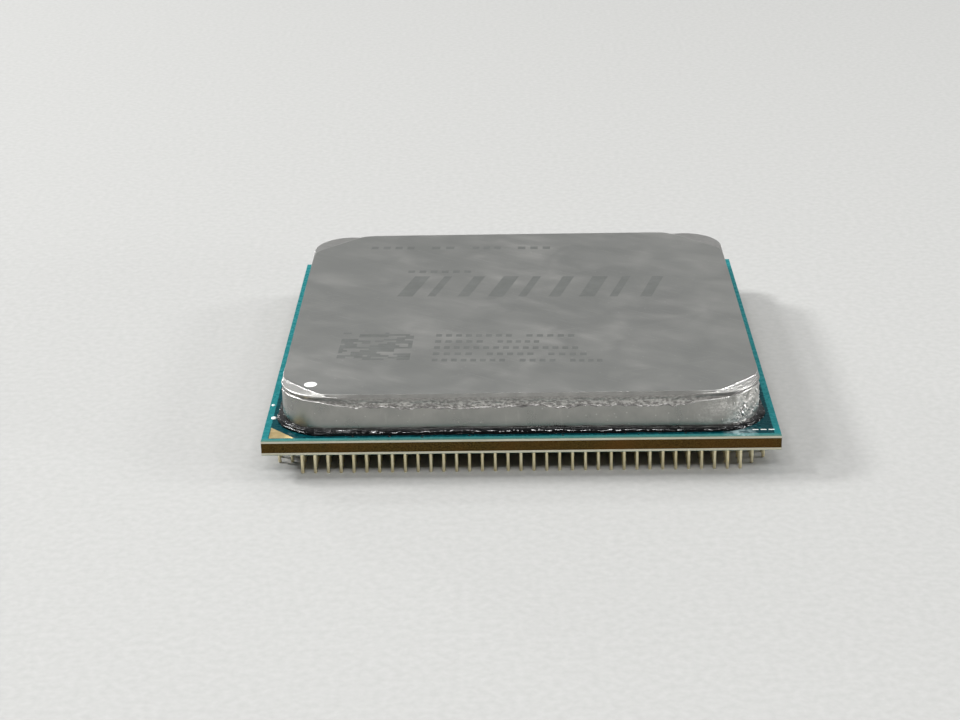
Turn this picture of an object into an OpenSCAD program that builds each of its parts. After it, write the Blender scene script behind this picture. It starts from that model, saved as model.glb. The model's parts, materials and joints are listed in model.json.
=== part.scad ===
// A lidded pin-grid-array computer processor, pins down, lid up.
// Origin: centre of the package, on the plane of the pin tips. +Z points out of the lid.
// The first pin's corner is at -X -Y.

/* [Package] */
// Side of the square laminate package
package_side = 40; // [39.5:0.1:42]
// Thickness of the glass-epoxy core
core_thickness = 0.8; // [0.6:0.05:1.0]
// Thickness of each build-up stack, without its solder mask
buildup_thickness = 0.175; // [0.15:0.005:0.25]
// Thickness of each solder mask
mask_thickness = 0.025; // [0.02:0.005:0.03]
// Thickness of each copper plane
copper_thickness = 0.02; // [0.015:0.005:0.03]
// Distance from the package's edge to the outer copper planes
outer_copper_inset = 0.5; // [0.4:0.05:1.0]
// Distance from the package's edge to the core's copper planes
core_copper_inset = 0.7; // [0.4:0.05:1.0]

/* [Pins] */
// Pins along each side of the full grid
grid_count = 39; // [39:2:39]
// Distance between neighbouring pins
pin_pitch = 1; // [1:0.01:1.02]
// Distance from the underside of the package to the pin tips
pin_length = 2; // [1.8:0.05:2.4]
// Radius of a pin's shaft
pin_radius = 0.13; // [0.12:0.01:0.16]
// Length of the chamfer at a pin's tip
pin_tip_length = 0.08; // [0.04:0.01:0.12]
// Radius of a pin's nail head
head_radius = 0.32; // [0.31:0.01:0.34]
// Thickness of a pin's nail head
head_thickness = 0.12; // [0.08:0.01:0.2]
// Radius of the braze disc between a head and its land
braze_radius = 0.37; // [0.36:0.01:0.38]
// Thickness of the braze disc
braze_thickness = 0.04; // [0.03:0.01:0.06]
// Radius of the gold-plated land under each pin
land_radius = 0.42; // [0.41:0.01:0.45]
// Thickness of a land
land_thickness = 0.03; // [0.02:0.01:0.04]
// Pins left out along each side of the square field at the centre
void_count = 13; // [13:2:13]

/* [Lid] */
// Side of the square lid
lid_side = 37.4; // [36.8:0.1:38.4]
// Radius of the lid's corners
lid_corner_radius = 3.5; // [3.2:0.1:3.7]
// Height of the lid's top above the package
lid_top_height = 3.25; // [3.1:0.05:3.5]
// Radius of the rolled edge around the top
lid_edge_radius = 0.25; // [0.15:0.05:0.4]
// Side of the square cavity under the lid
cavity_side = 29.4; // [29:0.1:30]
// Radius of the cavity's corners
cavity_corner_radius = 2.5; // [1:0.1:4]
// Side of the solderable gold patch inside the lid, along X
patch_length = 25; // [24:0.5:27]
// Side of the gold patch along Y
patch_width = 12.6; // [11:0.2:14]
// Thickness of the gold patch
patch_thickness = 0.02; // [0.01:0.005:0.03]

/* [Seal] */
// Thickness of the adhesive under the lid's foot
seal_bond_thickness = 0.15; // [0.1:0.01:0.2]
// Distance from the package's centre to the adhesive's inner edge
seal_inner_half = 15.6; // [15.3:0.1:16.5]
// Width of the bead squeezed out beyond the lid's wall
bead_width = 0.55; // [0.3:0.05:0.7]
// Height of the bead against the lid's wall
bead_height = 0.5; // [0.3:0.05:0.6]
// Width of the vent left in the adhesive at the back
vent_width = 3; // [1:0.5:5]

/* [Die] */
// Side of the die along X
die_length = 22.06; // [20:0.01:22.5]
// Side of the die along Y
die_width = 9.66; // [9:0.01:10.5]
// Thickness of the die
die_thickness = 0.775; // [0.7:0.005:0.8]
// Height of the solder bumps under the die
bump_height = 0.08; // [0.06:0.01:0.1]
// Radius of a bump
bump_radius = 0.15; // [0.1:0.01:0.2]
// Distance between neighbouring bumps
bump_pitch = 0.9; // [0.8:0.05:1.2]
// Thickness of the metal film on the die's back
back_metal_thickness = 0.01; // [0.005:0.005:0.02]
// Thickness of the solder between the die and the lid
solder_thickness = 0.35; // [0.25:0.05:0.45]
// Overhang of that solder beyond the die
solder_overhang = 0.45; // [0.2:0.05:0.8]
// Reach of the underfill's fillet beyond the die
underfill_reach = 0.8; // [0.5:0.1:1.0]
// Height of the underfill against the die
underfill_height = 0.55; // [0.3:0.05:0.7]

/* [Capacitors] */
// Length, width and height of a small capacitor
small_cap = [1.0, 0.5, 0.5];
// Length, width and height of a large capacitor
large_cap = [1.6, 0.8, 0.8];
// Capacitors in each row along the die
row_count = 9; // [5:2:9]
// Capacitors in each column at the die's ends
column_count = 5; // [3:2:5]
// Distance between capacitors in a row
cap_pitch = 2.7; // [2.4:0.1:2.8]
// Distance from the die's centre line to the small capacitors
small_row_offset = 7.6; // [7.2:0.1:8.2]
// Distance from the die's centre line to the large capacitors
large_row_offset = 10.6; // [10:0.1:11]
// Distance from the die's centre to the columns at its ends
column_offset = 13.3; // [13.1:0.1:13.6]
// Length of the metal terminal at each end, as a part of the whole
terminal_fraction = 0.25; // [0.15:0.05:0.3]

/* [Marks] */
// Length of the first-pin triangle's legs on top
triangle_leg = 2; // [1:0.1:2.2]
// Length of the first-pin triangle's legs underneath
triangle_leg_below = 1.2; // [0.8:0.1:1.3]
// Distance from the package's edges to the triangles
triangle_inset = 0.55; // [0.5:0.05:0.8]
// Length of one printed dash
dash_length = 0.45; // [0.3:0.05:0.6]
// Width of one printed dash
dash_width = 0.14; // [0.1:0.01:0.2]

/* [Hidden] */
$fn = 48;

// Heights, from the pin tips up
package_bottom_z = pin_length;
bottom_buildup_z = package_bottom_z + mask_thickness;
core_z = bottom_buildup_z + buildup_thickness;
core_top_z = core_z + core_thickness;
top_mask_z = core_top_z + buildup_thickness;
package_top_z = top_mask_z + mask_thickness;
lid_foot_z = package_top_z + seal_bond_thickness;
lid_top_z = package_top_z + lid_top_height;
die_z = package_top_z + bump_height;
die_top_z = die_z + die_thickness;
solder_z = die_top_z + back_metal_thickness;
cavity_top_z = solder_z + solder_thickness;

// Pin grid
last_index = grid_count - 1;
middle_index = last_index / 2;
void_reach = (void_count - 1) / 2;
land_z = package_bottom_z - land_thickness;
braze_z = land_z - braze_thickness;
head_z = braze_z - head_thickness;

lid_corner_centre = lid_side / 2 - lid_corner_radius;
printed_thickness = 0.015;
outer_copper_side = package_side - 2 * outer_copper_inset;
core_copper_side = package_side - 2 * core_copper_inset;
pad_overhang = 0.2;
fillet_reach = 0.15;

function grid_place(index) = (index - middle_index) * pin_pitch;

// Steps from the nearest side of the grid, and from its middle
function from_side(index) = min(index, last_index - index);
function from_middle(index) = abs(index - middle_index);

// The three places at each corner of the grid that hold no pin
function is_corner(i, j) = from_side(i) + from_side(j) < 2;

// The place beside the first pin's corner that holds no pin, so the package fits one way round
function is_key(i, j) = i == 1 && j == 1;

// The square field without pins at the middle, one step wider beside its corners
function is_void(i, j) = max(from_middle(i), from_middle(j)) <= void_reach
    || from_middle(i) + from_middle(j) == 2 * void_reach + 1
       && abs(from_middle(i) - from_middle(j)) == 1;

function has_pin(i, j) = !is_corner(i, j) && !is_key(i, j) && !is_void(i, j);

// Children at every grid place in the given index ranges that holds a pin
module at_pins(columns, rows) {
    for (i = columns, j = rows)
        if (has_pin(i, j))
            translate([grid_place(i), grid_place(j), 0])
                children();
}

// A slab centred on the Z axis, between two heights
module slab(length, width, low_z, high_z) {
    translate([-length / 2, -width / 2, low_z])
        cube([length, width, high_z - low_z]);
}

// A square slab with round corners, between two heights
module round_slab(side, radius, low_z, high_z) {
    slab(side, side - 2 * radius, low_z, high_z);
    slab(side - 2 * radius, side, low_z, high_z);
    for (sx = [-1, 1], sy = [-1, 1])
        translate([sx * (side / 2 - radius), sy * (side / 2 - radius), low_z])
            cylinder(r = radius, h = high_z - low_z);
}

// Sweeps a flat section around a rounded square whose corner centres are given.
// The section's x runs outwards from the corner centres and its y is the height.
module around(corner_centre) {
    for (quarter = [0:3])
        rotate([0, 0, 90 * quarter]) {
            translate([corner_centre, 0, 0])
                rotate([90, 0, 0])
                    linear_extrude(height = 2 * corner_centre, center = true)
                        children();
            translate([corner_centre, corner_centre, 0])
                rotate_extrude(angle = 90)
                    children();
        }
}

// A right-angled triangle in the first pin's corner
module corner_triangle(leg, low_z, high_z) {
    start = triangle_inset - package_side / 2;
    translate([start, start, low_z])
        linear_extrude(height = high_z - low_z)
            polygon([[0, 0], [leg, 0], [0, leg]]);
}

// ---- Lid ----

module heat_spreader() {
    wall_edge = lid_corner_radius - lid_edge_radius;
    rolled_edge = [for (angle = [0:30:90]) [
        wall_edge + lid_edge_radius * cos(angle),
        lid_top_z - lid_edge_radius + lid_edge_radius * sin(angle)
    ]];
    color("silver")
        difference() {
            union() {
                slab(2 * lid_corner_centre, 2 * lid_corner_centre, lid_foot_z, lid_top_z);
                around(lid_corner_centre)
                    polygon(concat(
                        [[0, lid_foot_z], [lid_corner_radius, lid_foot_z]],
                        rolled_edge,
                        [[0, lid_top_z]]
                    ));
            }
            round_slab(cavity_side, cavity_corner_radius, lid_foot_z - 1, cavity_top_z);
            slab(patch_length, patch_width, cavity_top_z - 0.1, cavity_top_z + patch_thickness);
        }
}

module lid_gold_patch() {
    color("gold")
        slab(patch_length, patch_width, cavity_top_z, cavity_top_z + patch_thickness);
}

module lid_seal() {
    inner = seal_inner_half - lid_corner_centre;
    wall = lid_corner_radius;
    color("black")
        difference() {
            around(lid_corner_centre)
                polygon([
                    [inner, package_top_z],
                    [wall + bead_width, package_top_z],
                    [wall + 0.85 * bead_width, package_top_z + 0.3 * bead_height],
                    [wall + 0.45 * bead_width, package_top_z + 0.75 * bead_height],
                    [wall, package_top_z + bead_height],
                    [wall, lid_foot_z],
                    [inner, lid_foot_z]
                ]);
            translate([-vent_width / 2, 0, package_top_z - 1])
                cube([vent_width, package_side, bead_height + 2]);
        }
}

// ---- Die and what joins it ----

module thermal_solder() {
    color("lightslategray")
        slab(die_length + 2 * solder_overhang, die_width + 2 * solder_overhang, solder_z, cavity_top_z);
}

module die_back_metal() {
    color("goldenrod")
        slab(die_length, die_width, die_top_z, solder_z);
}

module silicon_die() {
    color("dimgray")
        slab(die_length, die_width, die_z, die_top_z);
}

module die_bumps() {
    across = floor((die_length - 1) / bump_pitch / 2);
    along = floor((die_width - 1) / bump_pitch / 2);
    color("lightgray")
        for (i = [-across:across], j = [-along:along])
            translate([i * bump_pitch, j * bump_pitch, package_top_z])
                cylinder(r = bump_radius, h = bump_height);
}

module underfill() {
    inner_length = die_length - 0.6;
    inner_width = die_width - 0.6;
    // One sloping side of the fillet, as a wedge that runs past the neighbouring sides
    module side_wedge(half_depth, length) {
        rotate([90, 0, 90])
            linear_extrude(height = length + 2 * underfill_reach, center = true)
                polygon([
                    [half_depth - 1, package_top_z],
                    [half_depth + underfill_reach, package_top_z],
                    [half_depth + 0.02, package_top_z + underfill_height],
                    [half_depth - 1, package_top_z + underfill_height]
                ]);
    }
    color("darkslategray")
        difference() {
            intersection() {
                union() {
                    side_wedge(die_width / 2, die_length);
                    rotate([0, 0, 180])
                        side_wedge(die_width / 2, die_length);
                    slab(die_length + 2 * underfill_reach, die_width - 1.5,
                         package_top_z, package_top_z + underfill_height);
                }
                union() {
                    rotate([0, 0, 90])
                        side_wedge(die_length / 2, die_width);
                    rotate([0, 0, 270])
                        side_wedge(die_length / 2, die_width);
                    slab(die_length - 1.5, die_width + 2 * underfill_reach,
                         package_top_z, package_top_z + underfill_height);
                }
            }
            slab(inner_length, inner_width, package_top_z - 1, package_top_z + 2);
            slab(die_length, die_width, die_z, package_top_z + 2);
        }
}

// ---- Capacitors under the lid ----

// Children at each capacitor of one row or column, turned to lie along it
module cap_row(count, offset, turn) {
    for (side = [0, 180])
        rotate([0, 0, turn + side])
            for (k = [0:count - 1])
                translate([(k - (count - 1) / 2) * cap_pitch, offset, 0])
                    children();
}

// Children for the small capacitors
module at_small_caps() {
    cap_row(row_count, small_row_offset, 0)
        children();
    cap_row(column_count, column_offset, 90)
        rotate([0, 0, 90])
            children();
}

// Children for the large capacitors
module at_large_caps() {
    cap_row(row_count, large_row_offset, 0)
        children();
}

module cap_body(size) {
    body_length = size.x * (1 - 2 * terminal_fraction);
    slab(body_length, size.y - 0.04, package_top_z + 0.02, package_top_z + size.z - 0.02);
}

module cap_terminals(size) {
    terminal_length = size.x * terminal_fraction;
    for (end = [-1, 1])
        translate([end * (size.x - terminal_length) / 2, 0, 0])
            slab(terminal_length, size.y, package_top_z, package_top_z + size.z);
}

module cap_fillets(size) {
    for (end = [0, 180])
        rotate([90, 0, end])
            linear_extrude(height = size.y, center = true)
                polygon([
                    [size.x / 2, package_top_z],
                    [size.x / 2 + fillet_reach, package_top_z],
                    [size.x / 2, package_top_z + 0.6 * size.z]
                ]);
}

module cap_pads(size, low_z, high_z) {
    terminal_length = size.x * terminal_fraction;
    pad_length = terminal_length + pad_overhang;
    for (end = [-1, 1])
        translate([end * (size.x / 2 + pad_overhang - pad_length / 2), 0, 0])
            slab(pad_length, size.y + 0.1, low_z, high_z);
}

module capacitor_bodies() {
    color("tan") {
        at_small_caps()
            cap_body(small_cap);
        at_large_caps()
            cap_body(large_cap);
    }
}

module capacitor_terminals() {
    color("lightgray") {
        at_small_caps()
            cap_terminals(small_cap);
        at_large_caps()
            cap_terminals(large_cap);
    }
}

module capacitor_solder() {
    color("silver") {
        at_small_caps()
            cap_fillets(small_cap);
        at_large_caps()
            cap_fillets(large_cap);
    }
}

module all_cap_pads(low_z, high_z) {
    at_small_caps()
        cap_pads(small_cap, low_z, high_z);
    at_large_caps()
        cap_pads(large_cap, low_z, high_z);
}

module capacitor_pads() {
    color("goldenrod")
        all_cap_pads(top_mask_z, package_top_z);
}

// ---- Laminate ----

module top_solder_mask() {
    color("teal")
        difference() {
            slab(package_side, package_side, top_mask_z, package_top_z);
            all_cap_pads(top_mask_z - 1, package_top_z + 1);
            corner_triangle(triangle_leg, top_mask_z - 1, package_top_z + 1);
        }
}

module top_copper_plane() {
    color("peru")
        slab(outer_copper_side, outer_copper_side, top_mask_z - copper_thickness, top_mask_z);
}

module top_buildup() {
    color("cornsilk")
        difference() {
            slab(package_side, package_side, core_top_z, top_mask_z);
            slab(outer_copper_side, outer_copper_side, top_mask_z - copper_thickness, top_mask_z + 1);
            slab(core_copper_side, core_copper_side, core_top_z - 1, core_top_z + copper_thickness);
        }
}

module core_copper_top() {
    color("peru")
        slab(core_copper_side, core_copper_side, core_top_z, core_top_z + copper_thickness);
}

module substrate_core() {
    color("saddlebrown")
        slab(package_side, package_side, core_z, core_top_z);
}

module core_copper_bottom() {
    color("peru")
        slab(core_copper_side, core_copper_side, core_z - copper_thickness, core_z);
}

module bottom_buildup() {
    color("cornsilk")
        difference() {
            slab(package_side, package_side, bottom_buildup_z, core_z);
            slab(core_copper_side, core_copper_side, core_z - copper_thickness, core_z + 1);
            slab(outer_copper_side, outer_copper_side,
                 bottom_buildup_z - 1, bottom_buildup_z + copper_thickness);
        }
}

module bottom_copper_plane() {
    color("peru")
        slab(outer_copper_side, outer_copper_side,
             bottom_buildup_z, bottom_buildup_z + copper_thickness);
}

module bottom_solder_mask() {
    color("teal")
        difference() {
            slab(package_side, package_side, package_bottom_z, bottom_buildup_z);
            corner_triangle(triangle_leg_below, package_bottom_z - 1, bottom_buildup_z + 1);
        }
}

module first_pin_triangle_top() {
    color("gold")
        corner_triangle(triangle_leg, top_mask_z, package_top_z);
}

module first_pin_triangle_bottom() {
    color("gold")
        corner_triangle(triangle_leg_below, package_bottom_z, bottom_buildup_z);
}

module printed_dashes() {
    color("white")
        for (k = [0:2])
            translate([package_side / 2 - 1.9 + k * 0.62, 1.15 - package_side / 2, 0])
                slab(dash_length, dash_width, package_top_z, package_top_z + printed_thickness);
}

// ---- Pins ----

// A round pin with a chamfered tip and a nail head, tip down
module pin() {
    rotate_extrude()
        polygon([
            [0, 0],
            [pin_radius - pin_tip_length / 2, 0],
            [pin_radius, pin_tip_length],
            [pin_radius, head_z],
            [head_radius, head_z],
            [head_radius, braze_z],
            [0, braze_z]
        ]);
}

module pins(columns, rows) {
    color("khaki")
        at_pins(columns, rows)
            pin();
}

module pin_lands(rows) {
    color("gold")
        at_pins([0:last_index], rows)
            translate([0, 0, land_z])
                cylinder(r = land_radius, h = land_thickness);
}

module pin_braze(rows) {
    color("lightgray")
        at_pins([0:last_index], rows)
            translate([0, 0, braze_z])
                cylinder(r = braze_radius, h = braze_thickness);
}

// Index ranges of the grid: all but the outermost, before, beside and past the void, and halves
inside = [1:last_index - 1];
all_places = [0:last_index];
front_rows = [1:middle_index - void_reach - 1];
middle_rows = [middle_index - void_reach:middle_index + void_reach];
back_rows = [middle_index + void_reach + 1:last_index - 1];
left_columns = [1:middle_index - 1];
right_columns = [middle_index:last_index - 1];
front_half = [0:middle_index - 1];
back_half = [middle_index:last_index];

heat_spreader();
lid_gold_patch();
lid_seal();
thermal_solder();
die_back_metal();
silicon_die();
die_bumps();
underfill();
capacitor_bodies();
capacitor_terminals();
capacitor_solder();
capacitor_pads();
top_solder_mask();
top_copper_plane();
top_buildup();
core_copper_top();
substrate_core();
core_copper_bottom();
bottom_buildup();
bottom_copper_plane();
bottom_solder_mask();
first_pin_triangle_top();
first_pin_triangle_bottom();
printed_dashes();
pins(all_places, [0:0]);  // pins_outer_front
pins(all_places, [last_index:last_index]);  // pins_outer_back
pins([0:0], inside);  // pins_outer_left
pins([last_index:last_index], inside);  // pins_outer_right
pins(inside, front_rows);  // pins_inner_front
pins(inside, back_rows);  // pins_inner_back
pins(left_columns, middle_rows);  // pins_inner_left
pins(right_columns, middle_rows);  // pins_inner_right
pin_lands(front_half);  // pin_lands_front
pin_lands(back_half);  // pin_lands_back
pin_braze(front_half);  // pin_braze_front
pin_braze(back_half);  // pin_braze_back
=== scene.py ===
"""The looks of a lidded pin-grid processor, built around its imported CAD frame.

Lengths are in metres, except where a comment says millimetres."""

import json
import math
import random

import bmesh
import bpy
import numpy as np
from mathutils import Matrix, Vector, noise

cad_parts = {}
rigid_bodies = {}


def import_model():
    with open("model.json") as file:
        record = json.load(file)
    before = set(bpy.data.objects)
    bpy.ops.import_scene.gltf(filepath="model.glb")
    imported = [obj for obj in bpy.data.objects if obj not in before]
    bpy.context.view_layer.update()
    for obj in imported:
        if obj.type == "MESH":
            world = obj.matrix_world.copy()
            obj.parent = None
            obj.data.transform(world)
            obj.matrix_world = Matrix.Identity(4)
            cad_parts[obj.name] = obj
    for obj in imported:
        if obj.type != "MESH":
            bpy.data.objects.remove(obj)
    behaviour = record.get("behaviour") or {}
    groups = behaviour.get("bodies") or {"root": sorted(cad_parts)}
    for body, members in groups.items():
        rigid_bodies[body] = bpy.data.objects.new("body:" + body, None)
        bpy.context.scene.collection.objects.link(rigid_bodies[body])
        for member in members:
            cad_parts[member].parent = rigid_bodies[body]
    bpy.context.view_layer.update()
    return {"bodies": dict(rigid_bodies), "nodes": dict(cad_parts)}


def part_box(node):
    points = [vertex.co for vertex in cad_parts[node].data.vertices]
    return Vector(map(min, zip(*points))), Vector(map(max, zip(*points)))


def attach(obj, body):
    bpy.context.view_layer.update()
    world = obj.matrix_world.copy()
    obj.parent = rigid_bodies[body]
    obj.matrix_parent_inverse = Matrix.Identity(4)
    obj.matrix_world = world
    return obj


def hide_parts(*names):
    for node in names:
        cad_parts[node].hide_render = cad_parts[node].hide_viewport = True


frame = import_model()

MM = 0.001
BODY = next(iter(frame["bodies"]))

# Places and sizes that the frame gives
package_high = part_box("substrate_core")[1]
mask_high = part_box("top_solder_mask")[1]
lid_low, lid_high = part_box("heat_spreader")
seal_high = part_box("lid_seal")[1]
patch_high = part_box("lid_gold_patch")[1]
solder_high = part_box("thermal_solder")[1]
land_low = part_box("pin_lands_front")[0]
braze_low, braze_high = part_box("pin_braze_front")

PACKAGE_HALF = package_high.x
PACKAGE_TOP = mask_high.z
LID_HALF = lid_high.x
LID_TOP = lid_high.z
LID_FOOT = lid_low.z
BEAD_HALF = seal_high.x
BEAD_TOP = seal_high.z
CAVITY_TOP = solder_high.z

# Lid
LID_CORNER = 3.5 * MM
# The top above the package
LID_HEIGHT = 3.25 * MM
# The flat top stops this far inside the wall
FLAT_INSET = 0.05 * MM
# Where on each side the line that cuts off the flat top's corner starts, by the corner's signs
FLAT_CUTS = {(-1, -1): 15.4 * MM, (1, -1): 15.4 * MM, (1, 1): 13.9 * MM, (-1, 1): 14.3 * MM}
# How softly that line meets the sides
FLAT_SOFTNESS = 0.5 * MM
CAVITY_HALF = 14.7 * MM
CAVITY_CORNER = 2.5 * MM
# How far under the top the die roll ends and the torn band begins, on the sides and round the corners
ROLL_DROP = 0.3 * MM
CORNER_ROLL_DROP = 0.2 * MM
# The torn band's lower edge above the package, and the band's depth there
BAND_BOTTOM = 2.04 * MM
BAND_DEPTH = 0.1 * MM
# How far the torn band's lower edge climbs at each corner, by the corner's signs
BAND_CLIMBS = {(-1, -1): 1.0 * MM, (1, -1): 1.1 * MM, (1, 1): 0.8 * MM, (-1, 1): 0.9 * MM}
CLIMB_REACH = 6 * MM
GALLED_CORNER = Vector((LID_HALF, -LID_HALF, 0))
ROPY_CORNER = Vector((-LID_HALF, -LID_HALF, 0))

# Seal
SEAL_INNER_HALF = 15.6 * MM
SEAL_INNER_CORNER = 0.6 * MM
VENT_HALF = 1.5 * MM

# Package
BORDER = 0.5 * MM
# A pale patch painted on the mask in front of the lid's scuffed corner, a painted reflection of that
# corner's bright glint
PAINTED_GLARE_PLACE = Vector((16.9 * MM, -19.35 * MM, PACKAGE_TOP))

# Columns of vertices along one side and around one corner of the lid and its seal
SIDE_STEPS = 190
CORNER_STEPS = 110

random.seed(17)


# ---- Shapes ----


def smooth_step(low, high, value):
    """0 below low, 1 above high, and a smooth rise between."""
    part = min(max((value - low) / (high - low), 0), 1)
    return part * part * (3 - 2 * part)


def mix(a, b, part):
    return a + (b - a) * part


def noise_place(place, size, seed):
    """Where a place falls in the noise field, in a region of its own for each seed."""
    return Vector(place) / size + Vector((seed * 7.3, seed * 3.1, seed * 5.7))


def wander(place, size, seed):
    """Smooth noise from about -1 to 1 whose features are about size across."""
    return noise.noise(noise_place(place, size, seed))


def roughness_noise(place, size, seed):
    """The same with four octaves of finer detail."""
    return noise.fractal(noise_place(place, size, seed), 0.7, 2, 4)


def rounded_rectangle(half_x, half_y, radius):
    """Points at height 0 around a rectangle with round corners, anticlockwise, and the way out at each."""
    points = []
    outs = []
    for quarter in range(4):
        angle = math.pi / 2 * quarter
        out = Vector((math.cos(angle), math.sin(angle), 0))
        along = Vector((-out.y, out.x, 0))
        reach, span = (half_x, half_y) if quarter % 2 == 0 else (half_y, half_x)
        for step in range(SIDE_STEPS):
            points.append(out * reach + along * mix(radius - span, span - radius, step / SIDE_STEPS))
            outs.append(out)
        centre = out * (reach - radius) + along * (span - radius)
        for step in range(CORNER_STEPS):
            turned = angle + math.pi / 2 * step / CORNER_STEPS
            outs.append(Vector((math.cos(turned), math.sin(turned), 0)))
            points.append(centre + outs[-1] * radius)
    return points, outs


def ring(outline, height):
    return [Vector((point.x, point.y, height)) for point in outline]


def loft(rings, caps, zone_of=None):
    """A mesh through rings of equally many points. caps numbers the rings that one flat face fills."""
    mesh = bmesh.new()
    rows = [[mesh.verts.new(point) for point in points] for points in rings]
    count = len(rows[0])
    for number in range(len(rows) - 1):
        for column in range(count):
            beside = (column + 1) % count
            corners = (rows[number][column], rows[number][beside],
                       rows[number + 1][beside], rows[number + 1][column])
            face = mesh.faces.new(corners)
            face.smooth = True
            face.material_index = zone_of(number) if zone_of else 0
    for number in caps:
        mesh.faces.new(rows[number])
    return mesh


def unit_ball():
    """A ball's points and its faces' corners, which the blobs are scaled from."""
    ball = bmesh.new()
    bmesh.ops.create_icosphere(ball, subdivisions=2, radius=1)
    points = [vert.co.copy() for vert in ball.verts]
    faces = [[vert.index for vert in face.verts] for face in ball.faces]
    ball.free()
    return points, faces


BALL_POINTS, BALL_FACES = unit_ball()


def add_blob(mesh, place, along, out, sizes):
    """A smooth ellipsoid, from its half sizes along the wall, out from it and up. Returns its faces."""
    turned = Matrix((along, out, out.cross(along))).transposed()
    verts = []
    for point in BALL_POINTS:
        scaled = Vector([size * part for size, part in zip(sizes, point)])
        verts.append(mesh.verts.new(place + turned @ scaled))
    faces = [mesh.faces.new([verts[number] for number in corners]) for corners in BALL_FACES]
    for face in faces:
        face.smooth = True
    return faces


def add_object(name, data):
    thing = bpy.data.objects.new(name, data)
    bpy.context.scene.collection.objects.link(thing)
    return thing


def finish_piece(name, mesh, materials, replaced=()):
    """Makes an object of the mesh, fixed to the body."""
    bmesh.ops.recalc_face_normals(mesh, faces=mesh.faces)
    data = bpy.data.meshes.new(name)
    mesh.to_mesh(data)
    mesh.free()
    for material in materials:
        data.materials.append(material)
    piece = add_object(name, data)
    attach(piece, BODY)
    if replaced:
        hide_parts(*replaced)


# ---- Materials ----


class Finish:
    """A material with one principled shader, and short ways to add nodes to it."""

    def __init__(self, name, color=(0.5, 0.5, 0.5), **settings):
        self.material = bpy.data.materials.new(name)
        self.material.use_nodes = True
        self.nodes = self.material.node_tree.nodes
        self.links = self.material.node_tree.links
        self.shader = self.nodes["Principled BSDF"]
        self.place = self.nodes.new("ShaderNodeTexCoord").outputs["Object"]
        self.set("Base Color", (*color, 1))
        for socket, value in settings.items():
            self.set(socket.replace("_", " "), value)

    def set(self, socket, value):
        """Gives the shader's socket a constant, or links it to another socket."""
        self.feed(self.shader.inputs[socket], value)

    def feed(self, socket, value):
        if isinstance(value, bpy.types.NodeSocket):
            self.links.new(value, socket)
        else:
            socket.default_value = value

    def stretched(self, sizes, turn=0.0):
        """The object's coordinates turned about Z, then divided per axis by sizes in millimetres."""
        turned = self.nodes.new("ShaderNodeMapping")
        turned.inputs["Rotation"].default_value = (0, 0, turn)
        self.links.new(self.place, turned.inputs["Vector"])
        scaled = self.nodes.new("ShaderNodeMapping")
        scaled.inputs["Scale"].default_value = [1 / (size * MM) for size in sizes]
        self.links.new(turned.outputs["Vector"], scaled.inputs["Vector"])
        return scaled.outputs["Vector"]

    def cloud(self, size, detail=3.0, place=None, distortion=0.0):
        """Noise from 0 to 1 with features about size across, or 1 across in the coordinates given."""
        node = self.nodes.new("ShaderNodeTexNoise")
        node.inputs["Scale"].default_value = 1 / size
        node.inputs["Detail"].default_value = detail
        node.inputs["Distortion"].default_value = distortion
        self.links.new(place or self.place, node.inputs["Vector"])
        return node.outputs["Fac"]

    def cells(self, size, place=None):
        """Distance to the nearest of scattered points about size apart."""
        node = self.nodes.new("ShaderNodeTexVoronoi")
        node.inputs["Scale"].default_value = 1 / size
        self.links.new(place or self.place, node.inputs["Vector"])
        return node.outputs["Distance"]

    def between(self, value, low, high, to_low=0.0, to_high=1.0):
        """Maps low..high to to_low..to_high and clamps it."""
        node = self.nodes.new("ShaderNodeMapRange")
        limits = {"From Min": low, "From Max": high, "To Min": to_low, "To Max": to_high}
        for name, limit in limits.items():
            node.inputs[name].default_value = limit
        self.links.new(value, node.inputs["Value"])
        return node.outputs["Result"]

    def math(self, operation, *values):
        node = self.nodes.new("ShaderNodeMath")
        node.operation = operation
        for socket, value in zip(node.inputs, values):
            self.feed(socket, value)
        return node.outputs["Value"]

    def times(self, a, b):
        return self.math("MULTIPLY", a, b)

    def blend(self, part, first, second):
        """Two colours mixed by a value from 0 to 1."""
        node = self.nodes.new("ShaderNodeMix")
        node.data_type = "RGBA"
        self.feed(node.inputs["Factor"], part)
        for socket, value in ((node.inputs[6], first), (node.inputs[7], second)):
            self.feed(socket, value if isinstance(value, bpy.types.NodeSocket) else (*value, 1))
        return node.outputs[2]

    def shade(self, value, low, high, first, second):
        """The first colour where the value is low, the second where it is high, and a blend between."""
        return self.blend(self.between(value, low, high), first, second)

    def paint(self, colour):
        self.set("Base Color", colour)

    def rough(self, value, low, high, first, second):
        """The first roughness where the value is low and the second where it is high."""
        self.set("Roughness", self.between(value, low, high, first, second))

    def axis(self, name):
        node = self.nodes.new("ShaderNodeSeparateXYZ")
        self.links.new(self.place, node.inputs["Vector"])
        return node.outputs[name]

    def bump(self, height, depth):
        """Adds a bump of that depth on top of any bump already there."""
        node = self.nodes.new("ShaderNodeBump")
        node.inputs["Distance"].default_value = depth
        node.inputs["Strength"].default_value = 1
        self.links.new(height, node.inputs["Height"])
        below = self.shader.inputs["Normal"].links
        if below:
            self.links.new(below[0].from_socket, node.inputs["Normal"])
        self.links.new(node.outputs["Normal"], self.shader.inputs["Normal"])


def plain_metal(name, color, darker, size, rough_low, rough_high, depth=0.0):
    """Metal whose colour and roughness drift, with a fine bump. Its size and depth are in millimetres."""
    finish = Finish(name, Metallic=1.0)
    drift = finish.cloud(size * MM, 4)
    finish.paint(finish.shade(drift, 0.3, 0.7, darker, color))
    finish.rough(finish.cloud(size * MM * 0.6), 0.3, 0.7, rough_low, rough_high)
    if depth:
        finish.bump(finish.cloud(size * MM * 0.25, 5), depth * MM)
    return finish


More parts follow.
